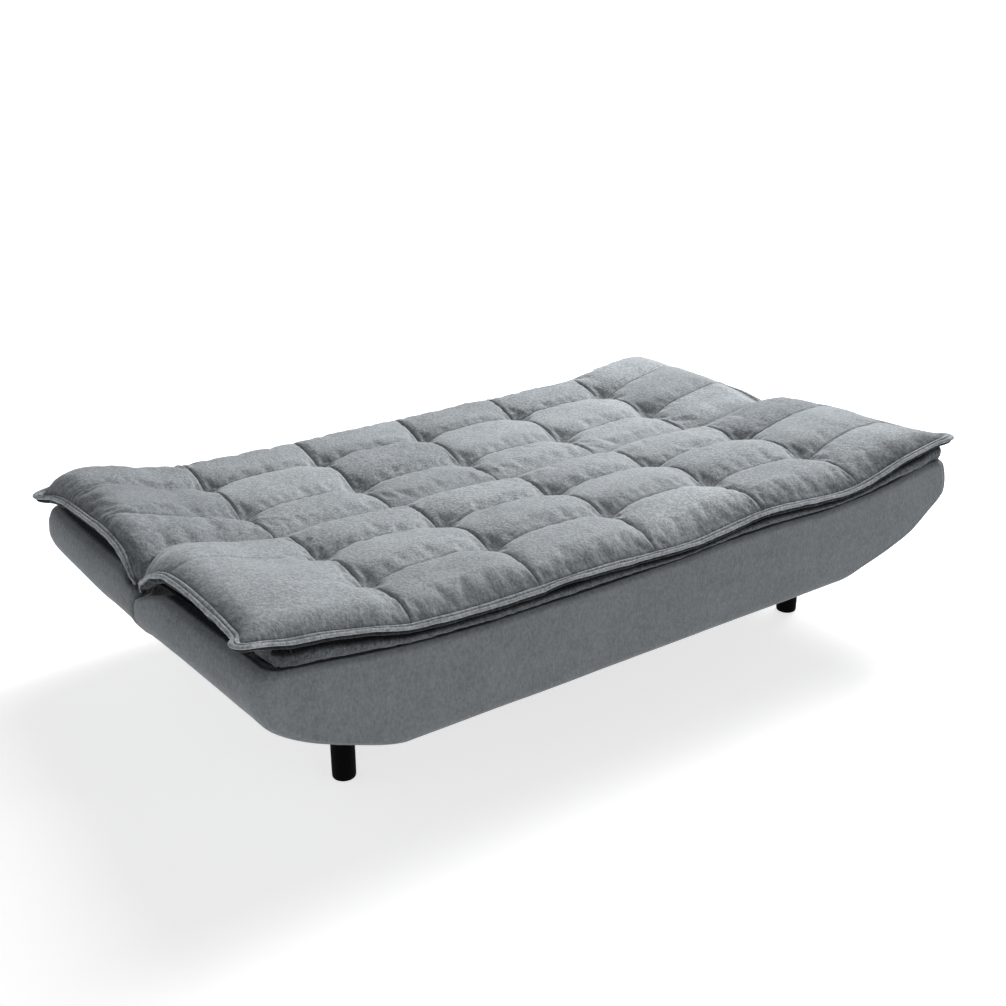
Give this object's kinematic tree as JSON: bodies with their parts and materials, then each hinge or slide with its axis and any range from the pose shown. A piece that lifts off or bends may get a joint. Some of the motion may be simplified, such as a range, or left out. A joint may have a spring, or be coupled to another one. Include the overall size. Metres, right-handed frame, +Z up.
{
  "type": "click clack sofa bed",
  "caption": "Click clack sofa bed, opened flat: two quilted pads with flanged edges on boat-shaped upholstered halves, notched hinges and black round legs.",
  "frame": {"origin": "on the floor under the middle of the open bed", "axes": "+X along the length, to the right as seen from the front; +Y to the rear; +Z up"},
  "size_m": [1.9, 1.11, 0.4867],
  "materials": {
    "pad_fabric": "heathered soft chenille, slate grey",
    "base_fabric": "short velvet, darker slate grey",
    "timber": "rough sawn pine and plywood",
    "lining": "black non-woven dust cloth",
    "spring_steel": "drawn spring wire",
    "black_steel": "satin black powder coat",
    "zinc_steel": "bright zinc plate",
    "black_plastic": "satin black moulded",
    "rubber": "matte black"
  },
  "bodies": {
    "base": {"buffer_left": "rubber", "buffer_right": "rubber", "frame_bolt_left_1": "zinc_steel", "frame_bolt_left_2": "zinc_steel", "frame_bolt_right_1": "zinc_steel", "frame_bolt_right_2": "zinc_steel", "frame_cross_tube_front": "black_steel", "frame_cross_tube_rear": "black_steel", "frame_side_tube_left": "black_steel", "frame_side_tube_right": "black_steel", "hinge_bolt_fixed_left_1": "zinc_steel", "hinge_bolt_fixed_left_2": "zinc_steel", "hinge_bolt_fixed_right_1": "zinc_steel", "hinge_bolt_fixed_right_2": "zinc_steel", "hinge_pin_left": "zinc_steel", "hinge_pin_right": "zinc_steel", "hinge_plate_fixed_left": "zinc_steel", "hinge_plate_fixed_right": "zinc_steel", "leg_front_left": "black_plastic", "leg_front_right": "black_plastic", "leg_rear_left": "black_plastic", "leg_rear_right": "black_plastic", "pawl_pin_left": "zinc_steel", "pawl_pin_right": "zinc_steel", "seat_cover": "base_fabric", "seat_cross_rail_left": "timber", "seat_cross_rail_right": "timber", "seat_dust_cloth": "lining", "seat_end_board_left": "timber", "seat_end_board_right": "timber", "seat_front_rail": "timber", "seat_pad": "pad_fabric", "seat_rear_rail": "timber", "seat_spring_left": "spring_steel", "seat_spring_middle": "spring_steel", "seat_spring_right": "spring_steel"},
    "back": {"back_cover": "base_fabric", "back_cross_rail_left": "timber", "back_cross_rail_right": "timber", "back_dust_cloth": "lining", "back_end_board_left": "timber", "back_end_board_right": "timber", "back_front_rail": "timber", "back_pad": "pad_fabric", "back_rear_rail": "timber", "back_spring_left": "spring_steel", "back_spring_middle": "spring_steel", "back_spring_right": "spring_steel", "hinge_bolt_swing_left_1": "zinc_steel", "hinge_bolt_swing_left_2": "zinc_steel", "hinge_bolt_swing_right_1": "zinc_steel", "hinge_bolt_swing_right_2": "zinc_steel", "hinge_plate_swing_left": "zinc_steel", "hinge_plate_swing_right": "zinc_steel"},
    "pawl_left": {"pawl_left": "zinc_steel"},
    "pawl_right": {"pawl_right": "zinc_steel"}
  },
  "joints": [
    {"name": "back_hinge", "type": "hinge", "parent": "base", "child": "back", "pos_m": [0, 0, 0.382], "axis": [1, 0, 0], "range_deg": [0, 72]},
    {"name": "pawl_left_pivot", "type": "hinge", "parent": "base", "child": "pawl_left", "pos_m": [-0.873, -0.0579, 0.3149], "axis": [1, 0, 0], "range_deg": [0, 8]},
    {"name": "pawl_right_pivot", "type": "hinge", "parent": "base", "child": "pawl_right", "pos_m": [0.873, -0.0579, 0.3149], "axis": [1, 0, 0], "range_deg": [0, 8]}
  ],
  "couplings": [
    {"joint": "pawl_right_pivot", "follows": "pawl_left_pivot", "ratio": 1}
  ]
}
